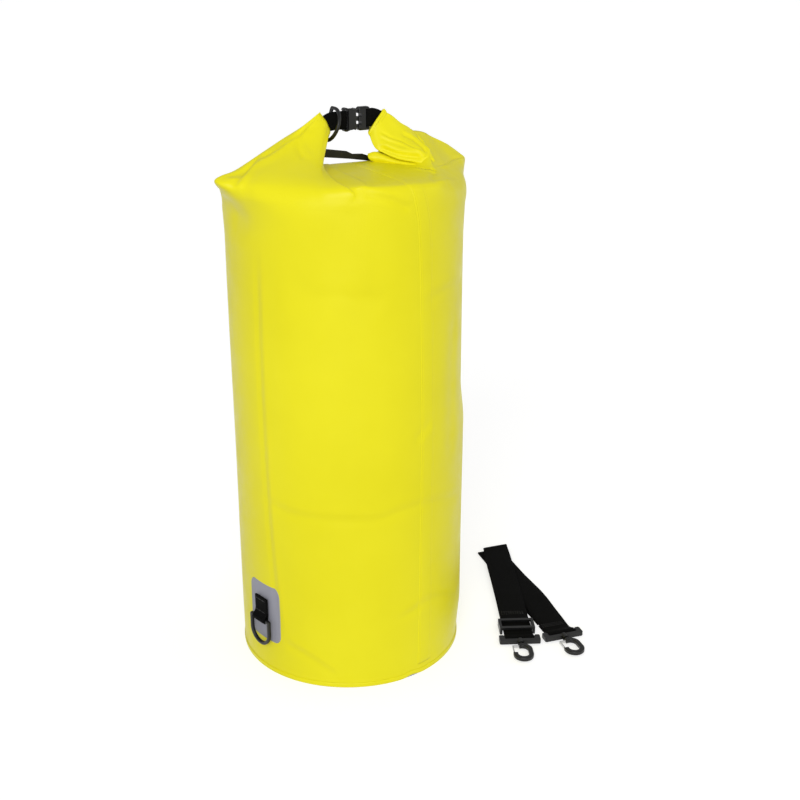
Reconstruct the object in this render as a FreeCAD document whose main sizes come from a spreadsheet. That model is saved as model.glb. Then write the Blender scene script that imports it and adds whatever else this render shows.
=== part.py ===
"""Roll-top dry sack, standing filled, with its unclipped shoulder strap lying beside it.

Row frame: millimetres, +Z up, origin at the centre of the base where it meets the ground.
X runs along the rolled mouth, so the closed carry loop lies in the X-Z plane; the front is -Y.
"""
import FreeCAD, Part
import math
import os
import Sketcher
from FreeCAD import Placement, Rotation, Vector

os.makedirs("parts", exist_ok=True)
doc = FreeCAD.newDocument("DrySack")

DIMS = {
    # bag shell
    "bag_radius": 145, "wall": 1.0, "base_thick": 1.2, "shoulder_start": 575, "shoulder_top": 632,
    "ear_reach": 165, "back_slope": 0.4, "skin_gap": 0.2, "skin_thick": 1.0,
    "seam_low": 14, "seam_high": 572, "seam_sweep": 8.5, "seam_turn": 277.5, "base_ring_height": 7,
    # carry loop
    "loop_z": 687.8, "web_half": 10.6, "web_ply": 1.6, "slot_clear": 0.3,
    # side-release buckle
    "socket_left": 0, "socket_right": 16.5, "buckle_half": 13.8, "buckle_thick": 10,
    "bar_wide": 3.2, "bar_half_thick": 1.6, "cavity_half": 10.4, "cavity_thick": 6.0, "cavity_start": 7.2,
    "window_left": 8, "window_right": 13.6, "scallop_radius": 12, "scallop_depth": 2.2,
    "latch_left": 19.5, "latch_right": 35.5, "latch_thick": 8.4, "tongue_left": 8.4,
    "notch_in": 2.6, "notch_out": 6.6, "notch_deep": 4,
    "prong_tip": 8.4, "prong_in": 7.2, "prong_out": 9.8, "prong_head": 12.4, "prong_half_thick": 2.6,
    # D-rings
    "ring_half": 20, "ring_rod": 4.6, "ring_deep": 20, "eye_half": 21, "eye_rod": 4.0, "eye_deep": 8,
    "top_ring_x": -15.6, "top_ring_y": 2, "top_ring_z": 683.5, "top_ring_lean": 19,
    # lower attachment
    "patch_turn": 190.5, "patch_wide": 60, "patch_low": 44, "patch_high": 124, "patch_corner": 12,
    "tab_wide": 25, "tab_top": 106, "ring_bar_out": 150.7, "ring_bar_z": 76, "tab_loop_out": 4.2,
    "tab_loop_bore": 2.9,
    # shoulder strap
    "strap_wide": 40, "strap_low_z": 0.2, "strap_run_thick": 3.2, "strap_stack_z": 3.6,
    "slider_rail": 3.6, "slider_long": 25, "slider_bar": 5, "hook_bar_z": 4.5, "hook_bar_half": 27.7,
    "hook_bar_radius": 2.5, "hook_loop_out": 4.2, "hook_loop_bore": 2.9, "hook_thick": 6.4,
    "hook_neck": 3.1, "hook_boss": 5.6, "hook_ring_wide": 13.4, "hook_ring_rod": 6.2,
    "slider_start": 16, "upper_run_end": 265, "lower_run_end": 254,
}

# The two hook ends of the strap: bar centre on the ground plan and the turn of the bar about Z.
HOOK_PLACES = {"hook_1": (175.8, -150.5, -29.0), "hook_2": (231.5, -170.5, -13.5)}

sheet = doc.addObject("Spreadsheet::Sheet", "Dims")
for row, (alias, number) in enumerate(DIMS.items(), 1):
    sheet.set("A%d" % row, alias)
    sheet.set("B%d" % row, str(number))
    sheet.setAlias("B%d" % row, alias)
doc.recompute()

nodes = []          # finished sub-parts, written in this order


def size(alias):
    """A driving dimension as a number, for places and for shapes set in code."""
    return float(getattr(sheet, alias))


def bound(text):
    """An expression on the sheet: every driving dimension named in the text gets its sheet prefix."""
    words = []
    for word in str(text).replace("(", " ( ").replace(")", " ) ").split():
        words.append("Dims." + word if word in DIMS else word)
    return " ".join(words)


def finish(feature, label):
    feature.Label = label
    nodes.append(feature)
    return feature


# ---------------------------------------------------------------- building blocks
def box(x, y, z):
    """A block from three (low, high) pairs of expressions."""
    block = doc.addObject("Part::Box", "Block")
    for prop, axis, (low, high) in (("Length", "x", x), ("Width", "y", y), ("Height", "z", z)):
        block.setExpression(prop, bound("( %s ) - ( %s )" % (high, low)))
        block.setExpression("Placement.Base." + axis, bound(low))
    return block


def rod(axis, radius, start, end, at=(0, 0, 0), sweep=None):
    """A round bar along X, Y or Z from start to end; at gives its axis point as expressions."""
    bar = doc.addObject("Part::Cylinder", "Rod")
    turns = {"x": Rotation(Vector(0, 1, 0), 90), "y": Rotation(Vector(1, 0, 0), -90), "z": Rotation()}
    bar.Placement = Placement(Vector(), turns[axis])
    bar.setExpression("Radius", bound(radius))
    bar.setExpression("Height", bound("( %s ) - ( %s )" % (end, start)))
    for letter, place in zip("xyz", at):
        here = "( %s ) + ( %s )" % (place, start) if letter == axis else place
        bar.setExpression("Placement.Base." + letter, bound(here))
    if sweep:
        bar.setExpression("Angle", bound(sweep))
    return bar


def join(kind, *pieces):
    """A boolean of the document: Fuse and Common take any number of pieces, Cut takes base then tools."""
    if kind == "Cut":
        result = doc.addObject("Part::Cut", "Cut")
        result.Base = pieces[0]
        result.Tool = pieces[1] if len(pieces) == 2 else join("Fuse", *pieces[1:])
    else:
        result = doc.addObject("Part::Multi" + kind, kind)
        result.Shapes = list(pieces)
    result.Refine = True
    return result


def prism(plane, points, half_length):
    """A body whose sketch is a closed outline on an origin plane, padded evenly to both sides."""
    body = doc.addObject("PartDesign::Body", "Prism")
    sketch = body.newObject("Sketcher::SketchObject", "Outline")
    origin_plane = [item for item in body.Origin.OriginFeatures if item.Role == plane][0]
    sketch.AttachmentSupport = [(origin_plane, "")]
    sketch.MapMode = "FlatFace"
    count = len(points)
    spots = [Vector(90 * math.cos(math.tau * i / count), 90 * math.sin(math.tau * i / count), 0)
             for i in range(count)]
    for i in range(count):
        sketch.addGeometry(Part.LineSegment(spots[i], spots[(i + 1) % count]), False)
    for i in range(count):
        sketch.addConstraint(Sketcher.Constraint("Coincident", i, 2, (i + 1) % count, 1))
    for i, point in enumerate(points):
        for kind, coordinate in zip(("DistanceX", "DistanceY"), point):
            index = sketch.addConstraint(Sketcher.Constraint(kind, -1, 1, i, 1, 1.0))
            sketch.setExpression("Constraints[%d]" % index, bound(coordinate))
    pad = body.newObject("PartDesign::Pad", "Pad")
    pad.Profile = sketch
    pad.Midplane = True
    pad.setExpression("Length", bound("2 * ( %s )" % half_length))
    return body


def rounded(base, radius, choose):
    """Fillets the edges of a feature that choose(edge) picks."""
    doc.recompute()
    edges = [(i, radius, radius) for i, edge in enumerate(base.Shape.Edges, 1) if choose(edge)]
    fillet = doc.addObject("Part::Fillet", "Fillet")
    fillet.Base = base
    fillet.Edges = edges
    doc.recompute()
    if not edges or fillet.Shape.isNull() or not fillet.Shape.isValid():
        raise ValueError("a fillet of %.1f mm fails on %s" % (radius, base.Label))
    return fillet


def along(axis):
    """Picks straight edges that run along an axis."""
    def choose(edge):
        if edge.Curve.TypeId != "Part::GeomLine":
            return False
        return abs(edge.tangentAt(edge.FirstParameter).dot(axis)) > 0.999
    return choose


def rim(axis, places):
    """Picks the edges lying in the planes at the given places along an axis."""
    def choose(edge):
        heights = [vertex.Point.dot(axis) for vertex in edge.Vertexes]
        return any(all(abs(height - place) < 0.01 for height in heights) for place in places)
    return choose


X, Y, Z = Vector(1, 0, 0), Vector(0, 1, 0), Vector(0, 0, 1)


# ---------------------------------------------------------------- bag shell
def tube_rod(inset, low, high):
    return rod("z", "bag_radius - %s" % inset, low, high)


def shoulder_solid(inset):
    """The top of the filled bag: it widens to the two ears, is flat in front and falls away behind."""
    circle = doc.addObject("Part::Circle", "ShoulderStart")
    circle.setExpression("Radius", bound("bag_radius - %s" % inset))
    circle.setExpression("Placement.Base.z", bound("shoulder_start"))
    ellipse = doc.addObject("Part::Ellipse", "ShoulderTop")
    ellipse.setExpression("MajorRadius", bound("ear_reach - %s" % inset))
    ellipse.setExpression("MinorRadius", bound("bag_radius - %s" % inset))
    ellipse.setExpression("Placement.Base.z", bound("shoulder_top - %s" % inset))
    upper = doc.addObject("Part::Loft", "Shoulder")
    upper.Sections = [circle, ellipse]
    upper.Solid = True
    upper.Ruled = True
    top = "shoulder_top - %s" % inset
    slope = [("0", top), ("200", "%s - 200 * back_slope" % top), ("200", "%s + 99" % top),
             ("0", "%s + 99" % top)]
    return join("Cut", upper, prism("YZ_Plane", slope, "200"))


finish(join("Cut", tube_rod("0", "base_thick", "shoulder_start"),
            tube_rod("wall", "base_thick - 1", "shoulder_start + 1")), "bag_tube")
finish(join("Cut", shoulder_solid("0"), shoulder_solid("wall")), "bag_shoulder")
finish(rod("z", "bag_radius - 0.4", "0", "base_thick"), "base_disc")


def skin(low, high, sweep, turn):
    """A thin piece lying on the tube: a sector of a ring just outside the wall."""
    outer = rod("z", "bag_radius + skin_gap + skin_thick", low, high, sweep=sweep)
    inner = rod("z", "bag_radius + skin_gap", low, high, sweep=sweep)
    sector = join("Cut", outer, inner)
    sector.Placement = Placement(Vector(), Rotation(Z, turn))
    return sector


finish(skin("0.6", "base_ring_height", "360", 0), "base_seam_ring")
finish(skin("seam_low", "seam_high", "seam_sweep", size("seam_turn")), "side_seam_tape")
patch_sweep = math.degrees(size("patch_wide") / size("bag_radius"))
patch = skin("patch_low", "patch_high", "patch_wide / bag_radius * 180 / pi",
             size("patch_turn") - patch_sweep / 2)
finish(rounded(patch, size("patch_corner"), lambda edge: edge.Length < 1.01 * size("skin_thick")),
       "lower_patch")


# ---------------------------------------------------------------- rolled mouth, pulled up at both ends
def rolled_arm(front, side, plan):
    """One end of the rolled mouth, layer on layer: where its front, side and plan outlines meet."""
    return join("Common", prism("XZ_Plane", front, "200"), prism("YZ_Plane", side, "200"),
                prism("XY_Plane", plan, "800"))


over_shoulder = "shoulder_top + slot_clear"
back_edge = [("120", "shoulder_top - 30"), ("120", "shoulder_top + slot_clear - 120 * back_slope"),
             ("0", over_shoulder)]
web_slot = ("0 - web_ply - slot_clear", "web_ply + slot_clear")
web_slot_z = ("loop_z - web_half - slot_clear", "loop_z + web_half + slot_clear")

left_front = [("-164.5", "633"), ("-164.5", "580"), ("-29", "580"), ("-29", "637.5"), ("-26", "664"),
              ("-21.5", "677"), ("-28.6", "697.6"), ("-57", "682.5"), ("-106", "656")]
left_side = [("-128", over_shoulder), ("-9", "698"), ("9", "698")] + back_edge
left_plan = [("-19", "-20"), ("-29", "0 - 40"), ("-68", "-128"), ("-112", "-98"), ("-150", "-45"),
             ("-164", "-8"), ("-164", "8"), ("-150", "45"), ("-112", "98"), ("-68", "128"),
             ("-19", "128")]
left_arm = rolled_arm(left_front, left_side, left_plan)
finish(join("Cut", left_arm, box(("-42", "0"), web_slot, web_slot_z)), "mouth_roll_left")

right_front = [("48", "637.5"), ("48", "580"), ("165", "580"), ("165", "634"), ("98.5", "666.8"),
               ("43.6", "666.8")]
right_side = [("-28", over_shoulder), ("-9", "698"), ("9", "698")] + back_edge
right_plan = [("43", "-30"), ("127", "-28"), ("164", "-12"), ("164", "8"), ("150", "45"),
              ("112", "98"), ("68", "128"), ("43", "128")]
finish(rolled_arm(right_front, right_side, right_plan), "mouth_roll_right")

tip_front = [("49.6", "667.2"), ("98.2", "667.2"), ("87", "677"), ("63.9", "695.6")]
tip_side = [("-20", "667.2"), ("-9", "698"), ("9", "698"), ("24", "667.2")]
arm_tip = join("Common", prism("XZ_Plane", tip_front, "200"), prism("YZ_Plane", tip_side, "200"))
finish(join("Cut", arm_tip, box(("40", "78"), web_slot, web_slot_z)), "right_arm_tip")

hem_front = [("43.3", "669.3"), ("49.2", "667.0"), ("63.5", "695.8"), ("58", "699")]
hem = prism("XZ_Plane", hem_front, "4.2")
finish(join("Cut", hem, box(("40", "78"), web_slot, web_slot_z)), "right_end_hem")

strip_front = [("-26.4", "646"), ("-23.9", "655.5"), ("6", "650.5"), ("14", "646.5"), ("28", "645.5"),
               ("44.6", "639.5"), ("46.4", "634.5"), ("30", "637.5"), ("10", "641")]
strip = prism("XZ_Plane", strip_front, "1.1")
strip.Placement = Placement(Vector(0, 3, 0), Rotation())
finish(strip, "mouth_stiffener")


# ---------------------------------------------------------------- buckle webbing
def web_loop(bar, left, right, face):
    """Two-ply webbing whose end goes round a buckle bar; bar is its (low, high) span in X and
    face says whether the strip leaves the bar towards -1 or +1."""
    across = ("loop_z - web_half", "loop_z + web_half")
    wrap = box((bar[0] + " - 1.9", bar[1] + " + 1.9"), ("-3.3", "3.3"), across)
    room = box((bar[0] + " - slot_clear", bar[1] + " + slot_clear"),
               ("0 - bar_half_thick - slot_clear", "bar_half_thick + slot_clear"), across)
    near = bar[1] + " + 1.5" if face > 0 else bar[0] + " - 1.5"
    span = (near, right) if face > 0 else (left, near)
    strip_half = ("0 - web_ply", "web_ply")
    return join("Cut", join("Fuse", wrap, box(span, strip_half, across)), room)


left_bar = ("socket_left", "socket_left + bar_wide")
right_bar = ("latch_right - bar_wide", "latch_right")
finish(web_loop(left_bar, "-40", "0", -1), "left_buckle_webbing")
finish(web_loop(right_bar, "0", "76", 1), "right_buckle_webbing")


# ---------------------------------------------------------------- side-release buckle
def band(half):
    """The (low, high) pair in Z of a band centred on the carry loop's height."""
    return ("loop_z - ( %s )" % half, "loop_z + ( %s )" % half)


def buckle_plate(left, right, thick):
    """A moulded plate with soft corners, whole across the webbing."""
    half = "%s / 2" % thick
    plate = box((left, right), ("0 - " + half, half), band("buckle_half"))
    corners = rounded(plate, 3.0, along(Y))
    return rounded(corners, 2.0, rim(Y, (-size(thick) / 2, size(thick) / 2)))


def bar_relief(bar, thick):
    """The two cuts that thin the plate's webbing bar."""
    low, high = bar
    return [box((low, high), ("bar_half_thick", "%s / 2 + 1" % thick), band("web_half + 0.6")),
            box((low, high), ("0 - %s / 2 - 1" % thick, "0 - bar_half_thick"), band("web_half + 0.6"))]


def scallop(side):
    centre = "loop_z + %d * ( buckle_half + scallop_radius - scallop_depth )" % side
    return rod("y", "scallop_radius", "-9", "9", at=("( window_left + window_right ) / 2", "0", centre))


socket_slot = box(("socket_left + bar_wide", "cavity_start - 1.6"), ("-9", "9"), band("web_half + 0.6"))
cavity = box(("cavity_start", "socket_right + 1"), ("0 - cavity_thick / 2", "cavity_thick / 2"),
             band("cavity_half"))
windows = box(("window_left", "window_right"), ("-3.2", "3.2"), band("buckle_half + 1"))
socket = join("Cut", buckle_plate("socket_left", "socket_right", "buckle_thick"), socket_slot, cavity,
              windows, scallop(1), scallop(-1),
              *bar_relief(("socket_left - 1", "socket_left + bar_wide"), "buckle_thick"))
finish(socket, "buckle_socket")

latch_slot = box(("latch_right - bar_wide - 3", "latch_right - bar_wide"), ("-9", "9"),
                 band("web_half + 0.6"))
tongue = box(("tongue_left", "latch_left + 1"), ("-2.4", "2.4"), band("2.2"))
latch_body = join("Fuse", buckle_plate("latch_left", "latch_right", "latch_thick"), tongue)
notches = [box(("latch_left - 1", "latch_left + notch_deep"), ("-9", "9"), span) for span in
           (("loop_z + notch_in", "loop_z + notch_out"), ("loop_z - notch_out", "loop_z - notch_in"))]
finish(join("Cut", latch_body, latch_slot, *notches,
            *bar_relief(("latch_right - bar_wide", "latch_right + 1"), "latch_thick")), "buckle_latch")


def prong(side):
    """A springy arm with its catch head, above (+1) or below (-1) the tongue."""
    def span(low, high):
        pair = ("loop_z + %s" % low, "loop_z + %s" % high)
        return pair if side > 0 else ("loop_z - %s" % high, "loop_z - %s" % low)
    thick = ("0 - prong_half_thick", "prong_half_thick")
    arm = box(("prong_tip + 2", "latch_left - 0.3"), thick, span("prong_in", "prong_out"))
    head = rounded(box(("prong_tip", "prong_tip + 4.6"), thick, span("prong_in", "prong_head")),
                   1.6, along(Y))
    return join("Fuse", arm, head)


finish(prong(1), "upper_prong")
finish(prong(-1), "lower_prong")


# ---------------------------------------------------------------- D-rings and lower tab
def d_ring(outer_half, rod_wide, deep):
    """A D-ring in the Y-Z plane with its straight bar on top along Y, the round end hanging down.
    Its local origin is the centre of the round end."""
    def blank(inset):
        half = "%s - %s" % (outer_half, inset)
        straight = box(("0 - %s / 2" % rod_wide, "%s / 2" % rod_wide), ("0 - ( %s )" % half, half),
                       ("0", "%s - %s" % (deep, inset)))
        disc = rod("x", half, "0 - %s / 2" % rod_wide, "%s / 2" % rod_wide)
        round_end = join("Common", disc, box(("-9", "9"), ("-30", "30"), ("-30", "0")))
        return join("Fuse", straight, round_end)
    ring = join("Cut", blank("0"), blank(rod_wide))
    softened = rounded(ring, 3.0, lambda edge: along(X)(edge) and edge.Vertexes[0].Z > size(deep) - 0.1)
    return rounded(softened, 0.36 * size(rod_wide), rim(X, (-size(rod_wide) / 2, size(rod_wide) / 2)))


top_ring = d_ring("eye_half", "eye_rod", "eye_deep")
# the bar of the top ring stands upright behind the webbing and its round end faces the front
upright = Rotation(Y, size("top_ring_lean")).multiply(Rotation(X, -90))
top_ring.Placement = Placement(Vector(size("top_ring_x"), size("top_ring_y"), size("top_ring_z")), upright)
finish(top_ring, "top_d_ring")

patch_frame = Rotation(Z, size("patch_turn"))
outward = patch_frame.multVec(X)
lower_ring = d_ring("ring_half", "ring_rod", "ring_deep")
ring_drop = size("ring_bar_z") + size("ring_rod") / 2 - size("ring_deep")
lower_ring.Placement = Placement(outward * size("ring_bar_out") + Z * ring_drop, patch_frame)
finish(lower_ring, "lower_d_ring")

tab_in = "bag_radius + skin_gap + skin_thick + 0.2"
tab_across = ("0 - tab_wide / 2", "tab_wide / 2")
tab_strip = box((tab_in, tab_in + " + 2.8"), tab_across, ("ring_bar_z", "tab_top"))
bar_place = ("ring_bar_out", "0", "ring_bar_z")
tab_wrap = rod("y", "tab_loop_out", *tab_across, at=bar_place)
tab_bore = rod("y", "tab_loop_bore", *tab_across, at=bar_place)
tab = join("Cut", join("Fuse", tab_strip, tab_wrap), tab_bore)
tab.Placement = Placement(Vector(), patch_frame)
finish(tab, "lower_webbing_tab")

tack_out = (tab_in + " + 2.9", tab_in + " + 3.5")
tacks = join("Fuse", box(tack_out, ("0 - 9.5", "9.5"), ("tab_top - 5", "tab_top - 3")),
             box(tack_out, ("0 - 9.5", "9.5"), ("ring_bar_z + 8", "ring_bar_z + 10")))
tacks.Placement = Placement(Vector(), patch_frame)
finish(tacks, "tab_bartacks")


# ---------------------------------------------------------------- shoulder strap on the ground
def hook_place(name, height):
    """The ground-plan frame of a strap end: X along the hook's bar, -Y towards the hook."""
    bar_x, bar_y, turn = HOOK_PLACES[name]
    return Placement(Vector(bar_x, bar_y, height), Rotation(Z, turn))


def strap_run(hook_name, start, end, low_z):
    """Two plies of flat webbing lying together, reaching back from a hook to the fold."""
    half = "strap_wide / 2"
    corners = [("0 - " + half, start), (half, start), (half, end), ("0 - " + half, end)]
    run = prism("XY_Plane", corners, "strap_run_thick / 2")
    run.Placement = hook_place(hook_name, size(low_z) + size("strap_run_thick") / 2)
    return run


finish(strap_run("hook_1", "14", "upper_run_end", "strap_stack_z"), "strap_upper_run")
finish(strap_run("hook_2", "12", "lower_run_end", "strap_low_z"), "strap_lower_run")


def place_all(name, labelled):
    for label, piece in labelled.items():
        piece.Placement = hook_place(name, size("hook_bar_z"))
        finish(piece, name + "_" + label)


def end_loop(reach):
    """The sewn end of the strap: webbing round the hook's bar, two plies back to the run."""
    across = ("0 - strap_wide / 2", "strap_wide / 2")
    wrap = rod("x", "hook_loop_out", *across)
    strip = box(across, ("0", reach), ("-1.4", "1.4"))
    return join("Cut", join("Fuse", wrap, strip), rod("x", "hook_loop_bore", *across))


def hook_base():
    """The flat swivel base: a slotted bar for the webbing and a bored boss for the hook's neck."""
    bar = rod("x", "hook_bar_radius", "0 - hook_bar_half + 2", "hook_bar_half - 2")
    frame = box(("0 - hook_bar_half", "hook_bar_half"), ("-11.5", "0 - 6.2"), ("-2.9", "2.9"))
    rails = [box(pair, ("-8", "2.9"), ("-2.9", "2.9")) for pair in
             (("0 - hook_bar_half", "0 - strap_wide / 2 - 0.7"), ("strap_wide / 2 + 0.7", "hook_bar_half"))]
    outline = rounded(join("Fuse", frame, *rails), 2.2, along(Z))
    boss = rod("y", "hook_boss - 1.4", "-15.5", "-6.3")
    return join("Cut", join("Fuse", outline, bar, boss), rod("y", "hook_neck - 1.0", "-16", "-6"))


def hook():
    """The snap hook: a round neck with its retaining head, and a ring left open for the gate."""
    wide, thick = "hook_ring_wide", "hook_thick / 2 - 0.4"
    levels = ("0 - ( %s )" % thick, thick)
    centre_far, centre_near = "-41.0", "-30.5"

    def oval(inset):
        shape = [rod("z", "%s - %s" % (wide, inset), *levels, at=("0", y, "0"))
                 for y in (centre_far, centre_near)]
        half = "%s - %s" % (wide, inset)
        return join("Fuse", *shape, box(("0 - ( %s )" % half, half), (centre_far, centre_near), levels))
    ring = join("Cut", oval("0"), oval("hook_ring_rod"))
    opening = box(("-20", "-3.4"), ("-38", "-15"), ("-9", "9"))
    neck = rod("y", "hook_neck - 1.1", "-19", "-4.6")
    head = rod("y", "hook_neck - 0.3", "-5.9", "-4.6")
    collar = rod("y", "hook_neck - 0.1", "-19.5", "-15.9")
    edges = rounded(join("Cut", ring, opening), 1.2, rim(Z, (-size("hook_thick") / 2 + 0.4,
                                                              size("hook_thick") / 2 - 0.4)))
    return join("Fuse", edges, neck, head, collar)


def hook_gate():
    """The spring gate: a thin leaf closing the open side of the hook."""
    leaf = box(("-12.6", "-11.2"), ("-35.6", "-22.5"), ("-1.6", "1.6"))
    foot = box(("-12.6", "-3.7"), ("-22.5", "-21.1"), ("-1.6", "1.6"))
    return join("Fuse", leaf, foot)


reaches = {"hook_1": "13.8", "hook_2": "11.8"}
for hook_name, reach in reaches.items():
    place_all(hook_name, {"end_loop": end_loop(reach), "base": hook_base(), "snap": hook(),
                          "gate": hook_gate()})


def tri_glide():
    """The ladder slider: outer bars over the webbing and the centre bar under it."""
    inner, outer = "strap_wide / 2 + 0.6", "strap_wide / 2 + 0.6 + slider_rail"
    bottom, top = "strap_stack_z - 3.4", "strap_stack_z + strap_run_thick + 3.4"
    over = ("strap_stack_z + strap_run_thick + 0.3", top)
    under = (bottom, "strap_stack_z - 0.3")
    rails = [box(pair, ("0", "slider_long"), (bottom, top)) for pair in
             (("0 - ( %s )" % outer, "0 - ( %s )" % inner), (inner, outer))]
    span = ("0 - ( %s )" % outer, outer)
    middle = "slider_long / 2"
    bars = [box(span, ("0", "slider_bar"), over),
            box(span, ("slider_long - slider_bar", "slider_long"), over),
            box(span, (middle + " - slider_bar / 2", middle + " + slider_bar / 2"), under)]
    return rounded(join("Fuse", *rails, *bars), 1.3, along(Z))


slider = tri_glide()
slider.Placement = hook_place("hook_1", 0).multiply(Placement(Vector(0, size("slider_start"), 0), Rotation()))
finish(slider, "strap_slider")


# ---------------------------------------------------------------- check and write
doc.recompute()
for item in doc.Objects:
    if "Invalid" in item.State or "Error" in item.State:
        raise ValueError("%s (%s) did not compute" % (item.Label, item.Name))
for node in nodes:
    shape = node.Shape
    if shape.isNull() or not shape.isValid() or not shape.Solids:
        raise ValueError("%s is not a valid solid" % node.Label)
    shape.exportStep("parts/%s.step" % node.Label)
    low, high = shape.BoundBox, shape.BoundBox
    print("%-22s solids %d  volume %9.0f  x %7.1f %7.1f  y %7.1f %7.1f  z %7.1f %7.1f" % (
        node.Label, len(shape.Solids), shape.Volume, low.XMin, high.XMax, low.YMin, high.YMax,
        low.ZMin, high.ZMax))
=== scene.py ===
"""Looks of the roll-top dry sack: coated fabric shell, rolled mouth, webbing and hardware."""
import bmesh
import bpy
import math
import numpy as np
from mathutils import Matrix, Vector


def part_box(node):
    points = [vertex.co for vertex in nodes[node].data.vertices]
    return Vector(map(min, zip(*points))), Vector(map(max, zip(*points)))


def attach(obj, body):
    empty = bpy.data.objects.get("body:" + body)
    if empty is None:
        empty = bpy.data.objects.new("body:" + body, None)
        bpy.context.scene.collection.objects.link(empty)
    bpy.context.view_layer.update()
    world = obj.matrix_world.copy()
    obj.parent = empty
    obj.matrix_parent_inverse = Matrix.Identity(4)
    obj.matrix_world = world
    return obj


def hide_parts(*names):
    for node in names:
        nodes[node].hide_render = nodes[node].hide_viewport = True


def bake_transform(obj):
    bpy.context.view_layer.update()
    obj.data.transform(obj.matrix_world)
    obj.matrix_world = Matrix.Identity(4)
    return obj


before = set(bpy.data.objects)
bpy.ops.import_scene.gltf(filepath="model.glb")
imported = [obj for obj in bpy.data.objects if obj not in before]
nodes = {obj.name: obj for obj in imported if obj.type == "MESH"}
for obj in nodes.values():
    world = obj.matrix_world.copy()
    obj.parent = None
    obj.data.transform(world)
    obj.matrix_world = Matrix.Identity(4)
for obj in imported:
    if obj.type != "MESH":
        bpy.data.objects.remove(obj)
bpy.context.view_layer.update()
MM = 0.001


# ---------------------------------------------------------------- sizes read from the frame
def span(node, axis):
    """A CAD node's lowest and highest place along an axis, in mm."""
    low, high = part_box(node)
    return low[axis] / MM, high[axis] / MM


RADIUS = span("bag_tube", 1)[1]                     # tube radius
BASE_THICK = span("base_disc", 2)[1]
PATCH_LOW, PATCH_HIGH = span("lower_patch", 2)
LOOP_Z = sum(span("buckle_socket", 2)) / 2          # height of the buckle's centre line
WEB_HALF = (span("left_buckle_webbing", 2)[1] - span("left_buckle_webbing", 2)[0]) / 2
PATCH_TURN = 190.5                                  # polar angle of the patch, its tab and ring
CAMERA_PLACE = (-0.70425, -1.25441, 0.881)          # front left of the sack, above its mouth
CAMERA_LOOK = (0.49538, 0.79278, -0.35511)          # slightly down, at the middle of the row
FLOOR_SIZE, WALL_RADIUS, WALL_HEIGHT = 90, 43, 60   # metres, far outside the picture


# ---------------------------------------------------------------- camera, floor, light
def make_camera():
    """The photograph's viewing angle."""
    data = bpy.data.cameras.new("photo_camera")
    data.lens = 54.0
    data.sensor_width = 36.0
    camera = bpy.data.objects.new("photo_camera", data)
    bpy.context.scene.collection.objects.link(camera)
    camera.location = CAMERA_PLACE
    camera.rotation_mode = "QUATERNION"
    camera.rotation_quaternion = Vector(CAMERA_LOOK).to_track_quat("-Z", "Y")
    bpy.context.scene.camera = camera


def make_stage():
    """A white floor, and a far white wall round it that lights nothing."""
    bpy.ops.mesh.primitive_plane_add(size=FLOOR_SIZE, location=(0, 0, 0))
    floor = bpy.context.object
    floor.name = "floor"
    material = new_material("floor_white")
    set_inputs(material, {"Base Color": (0.6, 0.6, 0.6, 1), "Roughness": 0.9,
                          "Specular IOR Level": 0.1, "Emission Color": (1, 1, 1, 1),
                          "Emission Strength": 0.6})
    floor.data.materials.append(material)
    floor.visible_diffuse = False
    wall = bmesh.new()
    bmesh.ops.create_cone(wall, cap_ends=False, segments=96, radius1=WALL_RADIUS,
                          radius2=WALL_RADIUS, depth=WALL_HEIGHT)
    mesh = bpy.data.meshes.new("backdrop")
    wall.to_mesh(mesh)
    wall.free()
    backdrop = bpy.data.objects.new("backdrop", mesh)
    bpy.context.scene.collection.objects.link(backdrop)
    backdrop.visible_shadow = backdrop.visible_diffuse = backdrop.visible_glossy = False
    glow = new_material("backdrop_white")
    set_inputs(glow, {"Base Color": (0, 0, 0, 1), "Specular IOR Level": 0.0,
                      "Emission Color": (1, 1, 1, 1), "Emission Strength": 1.0})
    mesh.materials.append(glow)


def aim(light, spot, target):
    light.location = spot
    light.rotation_mode = "QUATERNION"
    light.rotation_quaternion = (Vector(target) - Vector(spot)).to_track_quat("-Z", "Y")
    bpy.context.scene.collection.objects.link(light)


def make_lights():
    """A white studio: an even surround, a wide soft light from the left, a small kicker, a fill."""
    world = bpy.data.worlds.new("studio")
    world.use_nodes = True
    world.node_tree.nodes["Background"].inputs["Color"].default_value = (1, 1, 1, 1)
    world.node_tree.nodes["Background"].inputs["Strength"].default_value = 0.50
    bpy.context.scene.world = world
    for name, energy, spot in (("soft_left", 1.42, (-1.5, -2.4, 1.25)),
                               ("fill_right", 0.35, (2.4, -0.9, 0.9))):
        sun = bpy.data.lights.new(name, "SUN")
        sun.energy, sun.angle = energy, math.radians(50)
        aim(bpy.data.objects.new(name, sun), spot, (0, 0, 0.3))
    key = bpy.data.lights.new("key_left", "AREA")
    key.shape, key.size, key.energy = "SQUARE", 0.9, 14
    aim(bpy.data.objects.new("key_left", key), (-1.5, -1.7, 1.9), (0, 0, 0.6))


# ---------------------------------------------------------------- materials
def new_material(name):
    material = bpy.data.materials.new(name)
    material.use_nodes = True
    return material


def shader(material):
    return material.node_tree.nodes["Principled BSDF"]


def set_inputs(material, values):
    for key, value in values.items():
        shader(material).inputs[key].default_value = value


def add(material, kind):
    return material.node_tree.nodes.new(kind)


def link(material, source, target):
    material.node_tree.links.new(source, target)


def ramp(material, source, stops):
    """A colour for each value of the source; stops are (place, colour) pairs."""
    node = add(material, "ShaderNodeValToRGB")
    while len(node.color_ramp.elements) < len(stops):
        node.color_ramp.elements.new(0.5)
    for element, (place, colour) in zip(node.color_ramp.elements, stops):
        element.position = place
        element.color = colour
    link(material, source, node.inputs["Fac"])
    return node.outputs["Color"]


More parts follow.
